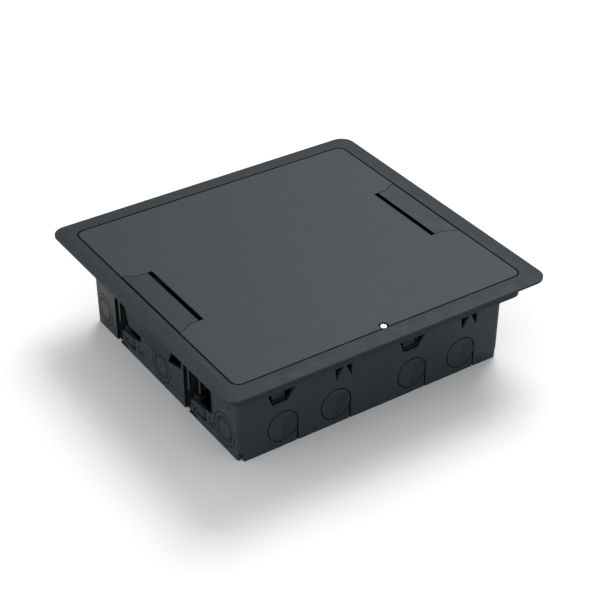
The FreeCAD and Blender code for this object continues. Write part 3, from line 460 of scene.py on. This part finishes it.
k = 0
for side in (1, -1):
    for y0 in CL_Y:
        k += 1
        cx, cy = -131.0 * side, (y0 - 12.0) * side
        node = "clamp_screw_%d" % k
        # the threaded shank, closed at the shoulder under the head
        bm = bmesh.new()
        threaded(bm, cx, cy, -91.9, -25.0, 2.0, 1.55, 1.25)
        revolve(bm, [(0.0, -25.0 * MM), (1.98 * MM, -25.0 * MM), (1.98 * MM, (ZS + 0.02) * MM), (0.0, (ZS + 0.02) * MM)], cx * MM, cy * MM, 28)
        shank = obj_from(bm, "clamp_screw_%d_thread" % k, MATS["black_steel"], 40.0)
        # pan head with a cross recess
        bm = bmesh.new()
        zb = ZS + 0.06
        prof = [(0.0, zb), (3.7, zb), (3.9, zb + 0.2), (3.9, zb + 1.15)]
        for i in range(1, 9):
            a = math.pi / 2 * i / 8
            prof.append((3.9 - 1.6 * (1 - math.cos(a)) - 1.2 * (i / 8.0) ** 2, zb + 1.15 + 1.45 * math.sin(a)))
        prof.append((0.0, zb + 2.6))
        revolve(bm, [(r * MM, z * MM) for r, z in prof], cx * MM, cy * MM, 40)
        head = obj_from(bm, "clamp_screw_%d_head" % k, MATS["black_steel"], 40.0)
        bm = bmesh.new()
        for ang in (0.0, math.pi / 2):
            c, s = math.cos(ang), math.sin(ang)
            vs = []
            for z, w, l in ((zb + 3.2, 0.55, 2.35), (zb + 0.9, 0.34, 0.9)):
                for dx, dy in ((-l, -w), (l, -w), (l, w), (-l, w)):
                    vs.append(bm.verts.new(((cx + dx * c - dy * s) * MM, (cy + dx * s + dy * c) * MM, z * MM)))
            for f in ((0, 1, 2, 3), (7, 6, 5, 4), (0, 4, 5, 1), (1, 5, 6, 2), (2, 6, 7, 3), (3, 7, 4, 0)):
                bm.faces.new([vs[q] for q in f])
        tool = obj_from(bm, "tool", MATS["black_steel"])
        md = head.modifiers.new("recess", "BOOLEAN")
        md.operation, md.solver, md.object = "DIFFERENCE", "EXACT", tool
        md.use_self = True
        dg = bpy.context.evaluated_depsgraph_get()
        me = bpy.data.meshes.new_from_object(head.evaluated_get(dg))
        head.modifiers.clear()
        head.data = me
        me.materials.clear()
        me.materials.append(MATS["black_steel"])
        bpy.data.objects.remove(tool)
        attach(shank, node)
        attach(head, node)
        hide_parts(node)

# ------------------------------------------------------------------ data ports: eight sprung contacts each
YD = -1.5 * 48.6
for s, nm in ((-1, "left"), (1, "right")):
    for i, dx in enumerate((-10.5, 10.5)):
        bm = bmesh.new()
        xc = s * 54.0 + dx
        for j in range(8):
            x = xc + (j - 3.5) * 1.02
            pts = [(YD + 3.9, -60.2), (YD + 3.5, -59.9), (YD + 1.0, -62.2), (YD - 1.6, -65.4), (YD - 3.0, -68.2)]
            prev = None
            for y, z in pts:
                sq = [bm.verts.new(((x + a) * MM, (y + b) * MM, (z + c) * MM)) for a, b, c in ((-0.2, 0.12, 0.16), (0.2, 0.12, 0.16), (0.2, -0.12, -0.16), (-0.2, -0.12, -0.16))]
                if prev:
                    for q in range(4):
                        bm.faces.new((prev[q], prev[(q + 1) % 4], sq[(q + 1) % 4], sq[q]))
                else:
                    bm.faces.new(sq)
                prev = sq
            bm.faces.new(list(reversed(prev)))
        o = obj_from(bm, "data_contacts_%s_%d" % (nm, i + 1), MATS["contact_brass"], 30.0)
        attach(o, "box")

# ------------------------------------------------------------------ socket shutters behind the pin holes
YS = [(-1.5 + i) * 48.6 for i in range(4)]
WELL_Z = -58.0 + 1.6 - 17.0
for s, nm in ((-1, "left"), (1, "right")):
    bm = bmesh.new()
    for y in YS[1:]:
        for sg in (-1, 1):
            cx, cy = s * 54.0 + sg * 9.5, y
            prof = [(0.0, WELL_Z - 3.2), (2.35, WELL_Z - 3.2), (2.35, WELL_Z - 1.5), (2.1, WELL_Z - 1.25), (1.2, WELL_Z - 1.6), (0.0, WELL_Z - 1.7)]
            revolve(bm, [(r * MM, z * MM) for r, z in prof], cx * MM, cy * MM, 24)
    o = obj_from(bm, "socket_shutters_%s" % nm, MATS["socket_plastic"], 30.0)
    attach(o, "box")

# ------------------------------------------------------------------ floor and light


def area(name, loc, target, size, power, color=(1, 1, 1), size_y=None):
    d = bpy.data.lights.new(name, "AREA")
    d.energy = power
    d.color = color
    if size_y:
        d.shape = "RECTANGLE"
        d.size, d.size_y = size, size_y
    else:
        d.size = size
    o = bpy.data.objects.new(name, d)
    bpy.context.scene.collection.objects.link(o)
    o.location = loc
    o.rotation_mode = "QUATERNION"
    o.rotation_quaternion = (Vector(target) - Vector(loc)).to_track_quat("-Z", "Y")
    return o


area("key", (1.45, 1.2, 2.3), (0, 0, 0), 1.6, 68.0, (1.0, 0.995, 0.985))
area("fill", (-1.9, -0.5, 1.1), (0, 0, -0.03), 1.5, 9.0, (0.97, 0.985, 1.0))
area("front", (0.7, -2.0, 0.7), (0, 0, -0.04), 1.4, 2.4)
world = bpy.data.worlds.new("world")
bpy.context.scene.world = world
world.use_nodes = True
bg = world.node_tree.nodes["Background"]
bg.inputs["Color"].default_value = (0.98, 0.99, 1.0, 1.0)
bg.inputs["Strength"].default_value = 0.66

ft = Tree("floor")
fm = ft.finish(ft.mix(ft.ramp(ft.noise(3.0, 3.0), 0.3, 0.7), (0.88, 0.88, 0.88), (0.90, 0.90, 0.90)), ft.ramp(ft.noise(40.0, 3.0), 0.3, 0.7, 0.72, 0.82), spec=0.2)
bm = bmesh.new()
zf = CAD_LO.z - 0.0001
n = 24
grid = [[bm.verts.new((-4 + 8 * i / n, -4 + 8 * j / n, zf)) for j in range(n + 1)] for i in range(n + 1)]
for i in range(n):
    for j in range(n):
        bm.faces.new((grid[i][j], grid[i + 1][j], grid[i + 1][j + 1], grid[i][j + 1]))
floor = obj_from(bm, "floor", fm)
